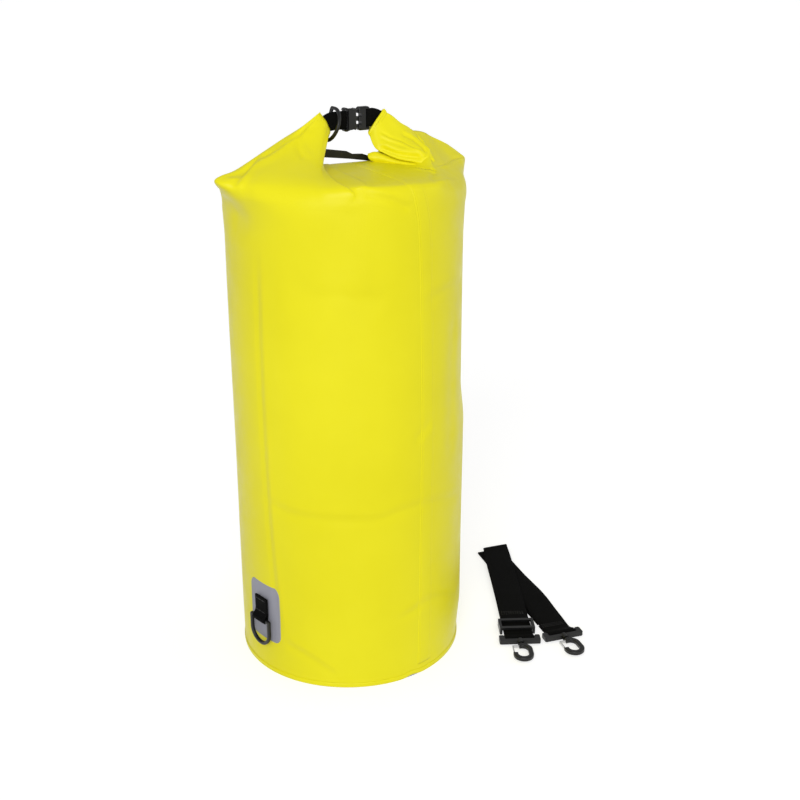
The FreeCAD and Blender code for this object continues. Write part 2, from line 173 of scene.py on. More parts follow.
def noise(material, vector, scale, detail, roughness):
    node = add(material, "ShaderNodeTexNoise")
    node.inputs["Scale"].default_value = scale
    node.inputs["Detail"].default_value = detail
    node.inputs["Roughness"].default_value = roughness
    link(material, vector, node.inputs["Vector"])
    return node.outputs["Fac"]


def math_node(material, operation, first, second=0.5):
    """One sum on node sockets or numbers; MULTIPLY_ADD adds the node's own third value, 0.5."""
    node = add(material, "ShaderNodeMath")
    node.operation = operation
    for index, value in enumerate((first, second)):
        if isinstance(value, (int, float)):
            node.inputs[index].default_value = value
        else:
            link(material, value, node.inputs[index])
    return node.outputs["Value"]


def bump(material, height, distance, strength, below=None):
    """A bump of a height in metres, laid over another bump if one is given."""
    node = add(material, "ShaderNodeBump")
    node.inputs["Distance"].default_value = distance
    node.inputs["Strength"].default_value = strength
    link(material, height, node.inputs["Height"])
    if below is not None:
        link(material, below, node.inputs["Normal"])
    return node.outputs["Normal"]


def wave(material, coordinate, pitch):
    """A smooth 0..1 ripple along one coordinate in metres."""
    turns = math_node(material, "MULTIPLY", coordinate, math.tau / pitch)
    return math_node(material, "MULTIPLY_ADD", math_node(material, "SINE", turns), 0.5)


def grey(tone):
    return (tone, tone, tone, 1)


def uv_parts(material):
    """The two surface coordinates, which are lengths in metres on every piece made here."""
    parts = add(material, "ShaderNodeSeparateXYZ")
    link(material, add(material, "ShaderNodeUVMap").outputs["UV"], parts.inputs[0])
    return parts.outputs["X"], parts.outputs["Y"]


def coated_fabric(name, light, dark, roughness=0.38):
    """PVC-coated fabric: a faint woven scrim under a soft gloss, uneven tone and handling marks."""
    material = new_material(name)
    place = add(material, "ShaderNodeTexCoord").outputs["Object"]
    along, up = uv_parts(material)
    cloudy = noise(material, place, 5.0, 4.0, 0.55)
    colour = ramp(material, cloudy, [(0.3, dark), (0.7, light)])
    link(material, colour, shader(material).inputs["Base Color"])
    scuffs = noise(material, place, 38.0, 6.0, 0.7)
    rough = ramp(material, scuffs, [(0.35, grey(roughness - 0.07)), (0.75, grey(roughness + 0.12))])
    link(material, rough, shader(material).inputs["Roughness"])
    weft, warp = wave(material, along, 0.0016), wave(material, up, 0.0016)
    scrim = math_node(material, "MULTIPLY", weft, warp)
    skin = bump(material, noise(material, place, 14.0, 3.0, 0.5), 0.0016, 0.35)
    link(material, bump(material, scrim, 0.00008, 0.8, skin), shader(material).inputs["Normal"])
    set_inputs(material, {"Coat Weight": 0.04, "Coat Roughness": 0.3, "Specular IOR Level": 0.18})
    return material


def webbing_material(name, tone=0.0022):
    """Flat black webbing: crossing ribs of twisted yarn, nearly without gloss; its colour carries
    painted shade between the yarns.
    """
    material = new_material(name)
    along, across = uv_parts(material)
    place = add(material, "ShaderNodeTexCoord").outputs["Object"]
    ribs = wave(material, along, 0.0021)
    yarn_phase = math_node(material, "MULTIPLY", along, math.tau / 0.0042)
    strands = math_node(material, "MULTIPLY", across, math.tau / 0.0016)
    twisted = math_node(material, "SINE", math_node(material, "ADD", strands, yarn_phase))
    yarns = math_node(material, "MULTIPLY_ADD", twisted, 0.5)
    height = math_node(material, "MULTIPLY", ribs, yarns)
    fuzz = noise(material, place, 900.0, 3.0, 0.7)
    # Colour lighter on the rib tops and darker in the weave's hollows, following its height:
    # painted shade, with random fuzz mixed in.
    painted_rib_shade_and_fuzz = math_node(material, "ADD", math_node(material, "MULTIPLY", height, 0.5), fuzz)
    colour = ramp(material, painted_rib_shade_and_fuzz, [(0.35, grey(tone * 0.55)), (0.95, grey(tone * 2.2))])
    link(material, colour, shader(material).inputs["Base Color"])
    link(material, bump(material, height, 0.0004, 0.9), shader(material).inputs["Normal"])
    set_inputs(material, {"Roughness": 0.8, "Specular IOR Level": 0.06})
    return material


def plastic_material(name, tone, roughness=0.42):
    """Moulded acetal: satin black with a fine spark-eroded grain and worn, shinier high spots."""
    material = new_material(name)
    place = add(material, "ShaderNodeTexCoord").outputs["Object"]
    blotch = noise(material, place, 120.0, 4.0, 0.6)
    colour = ramp(material, blotch, [(0.3, grey(tone * 0.8)), (0.8, grey(tone * 1.5))])
    link(material, colour, shader(material).inputs["Base Color"])
    rough = ramp(material, noise(material, place, 60.0, 5.0, 0.7),
                 [(0.3, grey(roughness - 0.1)), (0.7, grey(roughness + 0.1))])
    link(material, rough, shader(material).inputs["Roughness"])
    grain = noise(material, place, 2600.0, 2.0, 0.5)
    link(material, bump(material, grain, 0.00004, 0.5), shader(material).inputs["Normal"])
    set_inputs(material, {"Specular IOR Level": 0.4})
    return material


def steel_material(name):
    material = new_material(name)
    place = add(material, "ShaderNodeTexCoord").outputs["Object"]
    streak = noise(material, place, 700.0, 4.0, 0.6)
    colour = ramp(material, streak, [(0.3, grey(0.5)), (0.8, (0.75, 0.75, 0.74, 1))])
    link(material, colour, shader(material).inputs["Base Color"])
    set_inputs(material, {"Metallic": 0.9, "Roughness": 0.3})
    return material


def thread_material(name, colour):
    """Twisted sewing thread, with painted shade darkening its colour in the twist's grooves."""
    material = new_material(name)
    along, across = uv_parts(material)
    twist = wave(material, math_node(material, "ADD", along, across), 0.0007)
    dark = tuple(c * 0.6 for c in colour[:3]) + (1,)
    # The colour follows the twist's bump: darker in its grooves as painted shade, lighter on the
    # strands' crowns.
    strand = ramp(material, twist, [(0.2, dark), (0.8, colour)])
    link(material, strand, shader(material).inputs["Base Color"])
    link(material, bump(material, twist, 0.0001, 0.7), shader(material).inputs["Normal"])
    set_inputs(material, {"Roughness": 0.6})
    return material


YELLOW = coated_fabric("yellow_coated_fabric", (0.835, 0.765, 0.010, 1), (0.775, 0.705, 0.005, 1))
GREY = coated_fabric("grey_coated_fabric", (0.36, 0.36, 0.41, 1), (0.27, 0.27, 0.31, 1), 0.45)
WEBBING = webbing_material("black_webbing")
PLASTIC = plastic_material("black_acetal", 0.0035, 0.36)
STIFFENER = plastic_material("black_stiffener_strip", 0.003, 0.5)
STEEL = steel_material("gate_steel")
YELLOW_THREAD = thread_material("yellow_thread", (0.62, 0.55, 0.02, 1))
BLACK_THREAD = thread_material("black_thread", (0.03, 0.03, 0.03, 1))


# ---------------------------------------------------------------- mesh helpers
def piece(name, verts, faces, material, body, replaced=(), uvs=None):
    """Makes a mesh object from millimetre points, with its finish, body and replaced CAD nodes."""
    mesh = bpy.data.meshes.new(name)
    mesh.from_pydata([tuple(float(c) * MM for c in v) for v in verts], [], faces)
    mesh.validate()
    if uvs is not None:
        layer = mesh.uv_layers.new(name="UVMap")
        for loop in mesh.loops:
            layer.data[loop.index].uv = tuple(float(c) * MM for c in uvs[loop.vertex_index])
    mesh.materials.append(material)
    for polygon in mesh.polygons:
        polygon.use_smooth = True
    obj = bpy.data.objects.new(name, mesh)
    bpy.context.scene.collection.objects.link(obj)
    if body:
        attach(obj, body)
    if replaced:
        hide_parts(*replaced)
    return obj


def grid_faces(rows, columns, closed=False):
    """Faces of a grid of points, row by row; closed joins the last column to the first."""
    last = columns if closed else columns - 1
    return [(r * columns + c, r * columns + (c + 1) % columns,
             (r + 1) * columns + (c + 1) % columns, (r + 1) * columns + c)
            for r in range(rows - 1) for c in range(last)]


def apply_modifiers(obj):
    """Replaces a piece's mesh by what its modifiers make of it."""
    graph = bpy.context.evaluated_depsgraph_get()
    mesh = bpy.data.meshes.new_from_object(obj.evaluated_get(graph), depsgraph=graph)
    obj.modifiers.clear()
    obj.data = mesh


def modify(obj, kind, **values):
    modifier = obj.modifiers.new(kind.lower(), kind)
    for key, value in values.items():
        setattr(modifier, key, value)


def catmull(points, per_span, closed=False):
    """Points of a smooth curve through the given points, per_span samples to each span."""
    points = np.array(points, float)
    count = len(points)
    spans = count if closed else count - 1
    out = []
    for i in range(spans):
        if closed:
            p0, p1, p2, p3 = (points[(i + k) % count] for k in (-1, 0, 1, 2))
        else:
            p1, p2 = points[i], points[i + 1]
            p0 = points[i - 1] if i else 2 * p1 - p2
            p3 = points[i + 2] if i + 2 < count else 2 * p2 - p1
        for j in range(per_span):
            t = j / per_span
            out.append(0.5 * (2 * p1 + (p2 - p0) * t + (2 * p0 - 5 * p1 + 4 * p2 - p3) * t ** 2
                              + (3 * p1 - p0 - 3 * p2 + p3) * t ** 3))
    if not closed:
        out.append(points[-1])
    return np.array(out)


def smooth_step(value):
    value = np.clip(value, 0, 1)
    return value * value * (3 - 2 * value)


def hill(value, centre, width):
    """A smooth bump of height 1 at the centre."""
    return np.exp(-((value - centre) / width) ** 2)


# ---------------------------------------------------------------- bag shell
# Each entry is a meridian of the shell above the round tube: its polar angle on the tube, then the
# points that the fabric passes on its way to the rolled mouth.
TOP = [
    (180, [(-138.5, 0, 586), (-143, 0, 602), (-155.5, 0, 617), (-166.4, 0, 631),
        (-157, 0, 637.3), (-134.5, .5, 641.4), (-108, 1, 656), (-83, 1.5, 665.8),
        (-58, 1, 680.5), (-30, 0, 698.8)]),
    (186, [(-138.5, -15, 586), (-142.5, -15, 602), (-153, -14, 617), (-162, -12, 629),
        (-154, -9, 635), (-138, -6, 637.5), (-112, -5, 651), (-84, -4, 664), (-57, -3, 678.5),
        (-29.5, -1, 697)]),
    (191, [(-138.5, -27.5, 586), (-141.5, -27.5, 603), (-147, -26.5, 617), (-148, -24, 628.5),
        (-140, -20, 636), (-129, -14.5, 641.5), (-108, -11, 653), (-82, -8, 664.5),
        (-56, -6, 678), (-28.5, -2, 695.5)]),
    (200, [(-134.5, -49.5, 587), (-136, -49, 604), (-139, -48, 618), (-136, -44, 630),
        (-127, -37, 638), (-112, -28, 646), (-91, -20, 655.5), (-68, -13.5, 666.5),
        (-47, -8, 679), (-26.5, -3, 692)]),
    (215, [(-119, -83.5, 588), (-119.6, -83.2, 604), (-118.6, -81, 618), (-114, -75, 630),
        (-105, -66, 638), (-90, -51, 646), (-71, -35.5, 655), (-52, -22.5, 665.5),
        (-37, -12, 676), (-23.5, -3.5, 688)]),
    (228, [(-97, -108, 588), (-97.5, -107.8, 604), (-96.6, -106, 618), (-93, -100, 630),
        (-86, -89, 637.5), (-74, -70, 644), (-59, -49, 650.5), (-45, -31, 659),
        (-33, -16, 669.5), (-21, -4, 682)]),
    (237, [(-79, -121.6, 588), (-79.5, -121.5, 604), (-80, -120, 619), (-80, -114, 631),
        (-75, -98, 637.5), (-66, -73, 642), (-52.5, -47, 646.5), (-40.5, -28, 653.5),
        (-30, -15, 664.5), (-19.5, -4, 677)]),
    (241, [(-70.3, -126.8, 588), (-70, -127, 605), (-67.5, -128.3, 619), (-62.6, -126.5, 632),
        (-64.5, -101, 637), (-56, -62, 640), (-47, -34, 643), (-40.5, -20, 651),
        (-31.5, -9, 662), (-21, -3, 674)]),
    (241.8, [(-68.5, -127.8, 588), (-68.3, -127.9, 605), (-66, -129, 618.5),
        (-61.8, -126.8, 631.3), (-63.5, -99, 635), (-56, -60, 638), (-48, -32, 641),
        (-42, -17, 649), (-33.5, -5, 661), (-23, 0, 673)]),
    (243.5, [(-64.7, -129.8, 588), (-64.6, -129.8, 605), (-63.5, -130.2, 618),
        (-61, -127, 630.8), (-70, -96, 632.5), (-74, -66, 632), (-66, -40, 633.5),
        (-60, -22, 634.5), (-56, -10, 635), (-53, 0, 635.5)]),
    (246, [(-59, -132.5, 588), (-59, -132.4, 605), (-59, -132, 618.5), (-58.6, -127.5, 631),
        (-58, -117, 634.6), (-55, -92, 636), (-49, -60, 636.6), (-43, -30, 637),
        (-38, -12, 637.4), (-35, .5, 637.5)]),
    (255, [(-37.5, -140, 588), (-37.5, -140, 605), (-37.5, -139.3, 620), (-37, -135.5, 631),
        (-36, -125, 635), (-33, -96, 636.4), (-29, -62, 636.9), (-24, -30, 637.2),
        (-20, -12, 637.4), (-17, .5, 637.5)]),
    (270, [(0, -145, 588), (0, -145, 605), (0, -144.3, 619), (0, -140.5, 630), (0, -130, 634),
        (1, -99, 635.5), (3, -62, 636.3), (5, -30, 637), (7, -12, 637.2), (9, .5, 637.2)]),
    (283, [(32.6, -141.3, 588), (32.6, -141.2, 604), (32.6, -140.5, 617), (32.5, -136.5, 628),
        (32.5, -126, 632.5), (33, -96, 634.3), (34, -62, 635.6), (36, -31, 636.4),
        (38, -12, 636.8), (40, .5, 636.8)]),
    (289.5, [(48.4, -136.7, 588), (48.5, -136.6, 604), (48.8, -135.8, 617), (49, -132.5, 627),
        (50, -122, 631.3), (55, -94, 633.6), (60, -66, 635), (62, -38, 636), (62, -18, 636.4),
        (62, 0, 636.6)]),
    (300, [(72.5, -125.6, 588), (72.6, -125.3, 603), (72, -123.5, 616), (70, -119, 626),
        (66.5, -111, 631.5), (66, -97, 633), (72, -80, 636), (80, -60, 645), (86, -35, 658),
        (88, -4, 666)]),
    (315, [(102.6, -102.5, 588), (102.8, -102.3, 602), (101, -100.5, 614), (96, -95.5, 624),
        (87.5, -86.5, 631.5), (83, -76, 636.5), (86, -60, 643), (90, -43, 650.5),
        (94, -24, 660.5), (96, -3, 668.5)]),
    (330, [(126, -73.5, 588), (127.8, -74, 601), (127, -73, 613), (121, -70, 624),
        (110, -64.5, 631.5), (105, -57, 637), (105, -45, 643.5), (107, -32, 650),
        (109, -18, 658.5), (110, -5, 666)]),
    (345, [(141, -39, 588), (144.5, -40, 601), (147, -40, 613), (146, -38.5, 624),
        (140, -36, 631.5), (134, -31, 636.5), (130, -25, 642), (127.5, -18, 648.5),
        (125, -11, 654.5), (123, -6.5, 659)]),
    (353, [(146.5, -23, 588), (151, -24, 602), (156, -24.5, 614), (160, -23, 624.5),
        (160, -20.5, 632), (154, -17, 637.5), (148, -14, 642.5), (143, -11.5, 646.5),
        (139, -9, 650), (136, -7.5, 653)]),
    (359, [(148, -8, 588), (153, -9, 603), (159, -11, 615), (165, -14, 625), (165.5, -14, 632),
        (160, -12, 637), (155, -10.5, 641), (151, -9, 644), (147.5, -8, 646.5),
        (145, -7, 648.5)]),
    (8, [(148.5, 20, 588), (153, 19.5, 603), (158, 17.5, 616), (162, 12, 625), (162, 5, 631.5),
        (157.5, 0, 637.5), (152.5, -3, 641.5), (149, -5, 644.5), (146.5, -6, 646.5),
        (145, -6.5, 648.3)]),
    (25, [(132, 61, 580), (133, 59, 592), (132.5, 54, 603), (131, 46, 613), (129, 37, 622),
        (127.5, 27, 631), (127, 17, 640), (127, 9, 647), (127.5, 1, 652.5), (128, -5, 656.5)]),
    (50, [(93, 111, 568), (92, 108, 578), (91, 101, 588), (90, 90, 597), (90, 76, 606),
        (91, 60, 616), (93, 43, 627), (96, 26, 640), (99, 10, 654), (101, -4, 666)]),
    (60, [(72.5, 125.6, 564), (72, 122.5, 574), (71.5, 116, 583), (71, 105, 592), (71, 90, 601),
        (72, 71, 611), (74, 51, 623), (77, 31, 637), (80, 13, 653), (82, -2, 669)]),
    (70, [(49.5, 136, 560), (49.3, 133, 571), (49, 126, 580), (48.5, 115, 588), (48.5, 100, 595),
        (49.5, 80, 604), (51, 58, 614), (54, 36, 626), (58, 17, 642), (63, 2, 661)]),
    (80, [(25, 142.8, 558.5), (24.8, 140, 569), (24.6, 133, 579), (24.5, 122, 587),
        (25, 106, 594), (26.5, 84, 603), (29, 61, 612), (32.5, 38, 621), (37, 17, 630),
        (42, -.5, 637.5)]),
    (90, [(0, 145, 558), (0, 142, 569), (0, 135, 578), (0, 124, 586), (.5, 108, 593),
        (2, 86, 602), (4, 62, 611), (6, 38, 620.5), (8, 17, 629.5), (9, -1, 636.6)]),
    (110, [(-49.5, 136, 560), (-49, 133, 571), (-48.5, 126, 580), (-47.5, 115, 588),
        (-46, 100, 595), (-43, 80, 604), (-40, 58, 613), (-36, 36, 622), (-32, 16, 631),
        (-29, 1, 640)]),
    (130, [(-93, 111, 568), (-92, 108, 578), (-89, 101, 588), (-84, 91, 597), (-77, 78, 606),
        (-68, 62, 615), (-58, 46, 625), (-48, 31, 638), (-38, 16, 653), (-25, 4, 673)]),
    (155, [(-132, 61, 580), (-133, 59, 592), (-132, 54, 603), (-127, 47, 613), (-118, 40, 622),
        (-104, 32, 632), (-88, 24, 644), (-70, 17, 658), (-52, 11, 671), (-26, 5, 685)]),
    (172, [(-140, 20, 586), (-144, 19, 603), (-153, 16, 617), (-157, 12, 627), (-149, 10, 634),
        (-130, 9, 643), (-106, 9, 655), (-79, 8, 669), (-54, 7, 681), (-28, 4, 694)]),
]
COLUMNS = 420                                       # round the bag
TUBE_TOP = 556                                      # the shell is a plain tube up to here
TUBE_ROWS = 130
UPPER_STEPS = 7                                     # rows to each span of a meridian
GUIDE_ROWS = [-9, -5, -1]                           # tube rows that a meridian starts from
SKIN_THICK, SHEET_THICK = 0.0008, 0.0004            # metres: the bag's skin, a sheet laid on it

# Soft fold lines: depth and half width in mm, then the line. On the tube a point is (polar angle,
# height), and on the shoulder and the rolled mouth it is a place in space.
TUBE_FOLDS = [
    (1.1, 5, [(197, 575), (196, 463), (196, 351), (197, 219), (200, 110), (204, 40)]),
    (1.0, 6, [(190, 250), (208, 238), (222, 235), (239, 235), (255, 233), (266, 239), (281, 239),
              (305, 225), (322, 222)]),
    (0.5, 8, [(220, 511), (240, 513), (261, 506)]),
    (0.9, 6, [(279, 498), (299, 503), (316, 496)]),
    (1.0, 5, [(262, 90), (273, 95), (281, 101), (293, 95), (318, 64)]),
    (1.2, 5, [(204, 52), (219, 39), (234, 15)]),
    (0.9, 11, [(305, 480), (303, 430), (302, 385), (302, 266)]),
    (0.9, 5, [(285, 346), (274, 326)]),
]
SHOULDER_FOLDS = [
    (1.5, 4.5, [(-50, -133, 629), (-42, -137, 625), (-17, -143.5, 617), (3, -145, 606)]),
    (1.6, 3.5, [(-50, -1, 684), (-57, -4, 678), (-66, -9, 671), (-70, -22, 661), (-72, -40, 652)]),
    (2.2, 4, [(-104, 2, 658), (-112, 1, 654), (-127, -4, 643.5), (-147, -18, 634),
              (-156, -18, 622)]),
    (4.0, 2.0, [(76, -90, 633.8), (68.5, -83, 634.4), (64.5, -70, 635), (61, -60, 635.2)]),
    (1.0, 3, [(44, -126, 632), (58, -105, 632.5), (72, -88, 634), (82, -76, 636)]),
    (-2.4, 2.0, [(80, -80, 634), (106, -63, 633.5), (136, -37, 632.5), (164, -18, 631)]),
    (-0.9, 3, [(45, -130, 631), (68, -118, 628), (95, -99, 626), (128, -72, 624)]),
]


def column_angles():
    """Meridian angles rising from 180, and how many columns each span between them gets, so that
    the pleat's close meridians get columns of their own."""
    keys = np.array([entry[0] for entry in TOP], float)
    keys = np.where(keys < 180, keys + 360, keys)
    gaps = np.diff(np.append(keys, keys[0] + 360))
    share = np.maximum(4, np.round(gaps / gaps.sum() * COLUMNS)).astype(int)
    return keys, share


KEYS, SHARE = column_angles()


def across_keys(values):
    """Smooth closed interpolation of one control level across the meridians."""
    count = len(values)
    out = []
    for i in range(count):
        p0, p1, p2, p3 = (values[(i + k) % count] for k in (-1, 0, 1, 2))
        keys = [KEYS[(i + k) % count] + 360 * ((i + k) // count) for k in (-1, 0, 1, 2)]
        d1, d2, d3 = (max(keys[k + 1] - keys[k], 0.1) for k in range(3))
        m1 = ((p1 - p0) / d1 * d2 + (p2 - p1) / d2 * d1) / (d1 + d2) * d2
        m2 = ((p2 - p1) / d2 * d3 + (p3 - p2) / d3 * d2) / (d2 + d3) * d2
        for j in range(SHARE[i]):
            t = j / SHARE[i]
            out.append((2 * t ** 3 - 3 * t ** 2 + 1) * p1 + (t ** 3 - 2 * t ** 2 + t) * m1
                       + (3 * t ** 2 - 2 * t ** 3) * p2 + (t ** 3 - t ** 2) * m2)
    return np.array(out)


def tube_radius(angle, z):
    """The filled tube isn't quite round: slack bellies where the fabric hangs free of its folds."""
    low_right = 4.6 * hill(angle, 330, 22) * smooth_step((370 - z) / 60) * smooth_step((z - 4) / 60)
    dents = 2.0 * hill(angle, 221, 8) * hill(z, 518, 26)
    dents = dents + 1.4 * hill(angle, 250, 8) * hill(z, 510, 24)
    roll = 0.7 * np.sin(np.radians(angle * 3 + z * 0.25)) * np.sin(z / 90)
    return RADIUS - 0.6 + low_right - dents + roll


def on_tube(angle, z):
    """A place on the round tube, from its polar angle and height."""
    turn = math.radians(angle)
    return np.array([RADIUS * math.cos(turn), RADIUS * math.sin(turn), z])


def grid_normals(points):
    """Outward unit normals of the closed grid of shell points."""
    across = np.roll(points, -1, 1) - np.roll(points, 1, 1)
    up = np.gradient(points, axis=0)
    normal = np.cross(across, up)
    return normal / np.maximum(np.linalg.norm(normal, axis=2, keepdims=True), 1e-9)


def press_fold(points, normals, depth, width, line):
    """Presses one soft fold into the grid: a valley with a lit ridge along one side of it."""
    line = catmull(line, 4)
    lengths = np.concatenate([[0], np.cumsum(np.linalg.norm(np.diff(line, axis=0), axis=1))])
    best = np.full(points.shape[:2], 1e9)
    side = np.zeros_like(best)
    place = np.zeros_like(best)
    for i, (start, end) in enumerate(zip(line[:-1], line[1:])):
        step = end - start
        share = np.clip(((points - start) @ step) / (step @ step), 0, 1)
        away = points - (start + share[..., None] * step)
        gap = np.linalg.norm(away, axis=2)
        nearer = gap < best
        best = np.where(nearer, gap, best)
        facing = np.einsum("ijk,ijk->ij", np.cross(normals, step), away)
        side = np.where(nearer, np.sign(facing) * gap, side)
        place = np.where(nearer, (lengths[i] + share * (lengths[i + 1] - lengths[i])) / lengths[-1],
                         place)
    fade = smooth_step(place / 0.15) * smooth_step((1 - place) / 0.15)
    valley = -hill(best, 0, width) + 0.6 * hill(side, 1.7 * width, 1.2 * width)
    return depth * fade * valley


def shell_points():
    """The grid of the whole skin: rows of the tube, then the meridians over the shoulder, with
    the folds pressed in. Gives the points, the column angles and the heights of the tube's rows."""
    levels = np.array([entry[1] for entry in TOP], float)              # meridians x levels x 3
    columns = np.stack([across_keys(levels[:, k]) for k in range(levels.shape[1])], 1)
    angles = np.concatenate([np.linspace(start, end, share, endpoint=False) for start, end, share in
                             zip(KEYS, np.append(KEYS[1:], KEYS[0] + 360), SHARE)])
    foot = [BASE_THICK + 0.2, 2.4, 4.5, 8]
    heights = np.concatenate([foot, np.linspace(14, TUBE_TOP, TUBE_ROWS)])
    radius = tube_radius(angles[None, :], heights[:, None])
    radius = radius - 1.0 * (1 - smooth_step(heights / 5))[:, None]
    turn = np.radians(angles)[None, :]
    tube = np.stack([radius * np.cos(turn), radius * np.sin(turn),
                     np.broadcast_to(heights[:, None], radius.shape)], 2)
    below = tube[GUIDE_ROWS].transpose(1, 0, 2)
    guides = np.concatenate([below, columns], 1)
    upper = np.array([catmull(guide, UPPER_STEPS)[2 * UPPER_STEPS + 1:] for guide in guides])
    points = np.concatenate([tube, upper.transpose(1, 0, 2)])
    normals = grid_normals(points)
    folds = [(depth, width, [on_tube(*spot) for spot in line])
             for depth, width, line in TUBE_FOLDS]
    shift = sum(press_fold(points, normals, *fold) for fold in folds + SHOULDER_FOLDS)
    return points + shift[..., None] * normals, angles, heights


SHELL, ANGLES, HEIGHTS = shell_points()
NORMALS = grid_normals(SHELL)


def row_at(z):
    """The grid row, as a fraction, at a height on the tube."""
    return float(np.interp(z, HEIGHTS, np.arange(len(HEIGHTS))))


def shell_spot(angle, row, lift=0.0):
    """A point lying lift mm outside the shell, at a polar angle and a grid row."""
    turn = (angle - 180) % 360 + 180
    column = np.interp(turn, np.append(ANGLES, ANGLES[0] + 360), np.arange(len(ANGLES) + 1))
    low_row, low_column = int(row), int(column)
    u, v = row - low_row, column - low_column
    corners = [(low_row, low_column, (1 - u) * (1 - v)), (low_row, low_column + 1, (1 - u) * v),
               (low_row + 1, low_column, u * (1 - v)), (low_row + 1, low_column + 1, u * v)]
    spot, normal = np.zeros(3), np.zeros(3)
    for r, c, share in corners:
        r, c = min(r, len(SHELL) - 1), c % len(ANGLES)
        spot = spot + share * SHELL[r, c]
        normal = normal + share * NORMALS[r, c]
    return spot + lift * normal / np.linalg.norm(normal)


def grid_uv(points):
    """Arc lengths across and up a grid of points, in mm, from its middle column."""
    across = np.cumsum(np.linalg.norm(np.diff(points, axis=1, prepend=points[:, :1]), axis=2), 1)
    up = np.cumsum(np.linalg.norm(np.diff(points, axis=0, prepend=points[:1]), axis=2), 0)
    height = np.broadcast_to(up.mean(1)[:, None], across.shape)
    return np.stack([across - across[:, -1:] / 2, height], 2).reshape(-1, 2)


def make_shell():
    """The bag's yellow skin: tube, shoulder and the left end of the roll in one sheet."""
    rows, columns = SHELL.shape[:2]
    up = np.cumsum(np.linalg.norm(np.diff(SHELL, axis=0, prepend=SHELL[:1]), axis=2), 0)
    uvs = np.stack([np.broadcast_to(np.radians(ANGLES) * RADIUS, (rows, columns)), up], 2)
    shell = piece("bag_shell", SHELL.reshape(-1, 3), grid_faces(rows, columns, True), YELLOW, "bag",
                  ("bag_tube", "bag_shoulder", "mouth_roll_left"), uvs.reshape(-1, 2))
    modify(shell, "SOLIDIFY", thickness=SKIN_THICK, offset=-1)
    apply_modifiers(shell)


def laid_piece(name, rows, sides, thick, weld_in, material, replaced):
    """A sheet welded on the shell: its edges sink into it and a weld groove runs weld_in mm
    inside them. sides gives the (left, right) polar angles at each row."""
    across = np.linspace(-1, 1, 41)
    middle = np.array([[shell_spot((a + b) / 2 + t * (b - a) / 2, row) for t in across]
                       for row, (a, b) in zip(rows, sides)])
    width = np.linalg.norm(middle[:, -1] - middle[:, 0], axis=1)[:, None] / 2
    up = np.cumsum(np.linalg.norm(np.diff(middle[:, 20], axis=0, prepend=middle[:1, 20]), axis=1))
    from_end = np.minimum(up, up[-1] - up)[:, None]
    from_edge = np.minimum((1 - abs(across))[None, :] * width, from_end)
    groove = 0.4 * thick * hill(from_edge, weld_in, 0.9)
    lift = -0.3 + (thick + 0.2) * smooth_step(from_edge / 1.6) - groove
    points = np.array([[shell_spot((a + b) / 2 + t * (b - a) / 2, row, lift[i, j])
                        for j, t in enumerate(across)]
                       for i, (row, (a, b)) in enumerate(zip(rows, sides))])
    obj = piece(name, points.reshape(-1, 3), grid_faces(len(rows), len(across)), material, "bag",
                replaced, grid_uv(points))
    modify(obj, "SOLIDIFY", thickness=SHEET_THICK, offset=-1)
    apply_modifiers(obj)


def make_seam_band():
    """The welded overlap of the side seam, from the base up over the front of the shoulder."""
    rows = np.linspace(row_at(11), len(HEIGHTS) + 8.95 * UPPER_STEPS, 170)
    share, stops = rows / rows[-1], [0, 0.42, 0.68, 0.76, 0.84, 1]
    left = np.interp(share, stops, [276.3, 278, 276, 273.6, 271, 270])
    right = np.interp(share, stops, [285.8, 287, 284.4, 281.5, 279, 278])
    laid_piece("side_seam_band", rows, list(zip(left, right)), 0.75, 2.6, YELLOW,
               ("side_seam_tape",))


def make_patch():
    """The grey patch: a rounded rectangle welded round its edge."""
    low, high, corner, half = PATCH_LOW, PATCH_HIGH, 12.0, 30.0
    ends = np.array([0, .4, .9, 1.6, 2.5, 3.6, 5, 6.6, 8.6, 10.6, 12])
    z = np.concatenate([low + ends, np.linspace(low + 14, high - 14, 26), (high - ends)[::-1]])
    inset = np.maximum(0, corner - np.minimum(z - low, high - z))
    reach = half - corner + np.sqrt(np.maximum(corner ** 2 - inset ** 2, 0))
    turn = np.degrees(reach / RADIUS)
    laid_piece("lower_patch_sheet", [row_at(h) for h in z],
               [(PATCH_TURN - t, PATCH_TURN + t) for t in turn], 0.95, 3.4, GREY,
               ("lower_patch",))


def revolve(name, profile, lifts, material, body, replaced, count=240):
    """A ring or disc turned about the bag's axis, that follows the filled tube's swelling at its
    foot; lifts gives how far each turn angle is raised."""
    profile = np.array(profile, float)
    turn = np.linspace(0, 360, count, endpoint=False)
    swell = tube_radius(np.where(turn < 180, turn + 360, turn), 7.0) - (RADIUS - 0.6)
    radius = profile[:, 0][:, None] + swell[None, :] * (profile[:, 0] / RADIUS)[:, None]
    height = profile[:, 1][:, None] + lifts(turn)[None, :] * (profile[:, 0] / RADIUS)[:, None]
    points = np.stack([radius * np.cos(np.radians(turn)), radius * np.sin(np.radians(turn)),
                       height], 2)
    along = np.broadcast_to(np.radians(turn) * RADIUS, radius.shape)
    uvs = np.stack([along, np.broadcast_to(np.cumsum(np.linalg.norm(np.diff(
        profile, axis=0, prepend=profile[:1]), axis=1))[:, None], radius.shape)], 2).reshape(-1, 2)
    return piece(name, points.reshape(-1, 3), grid_faces(len(profile), count, True), material, body,
                 replaced, uvs)


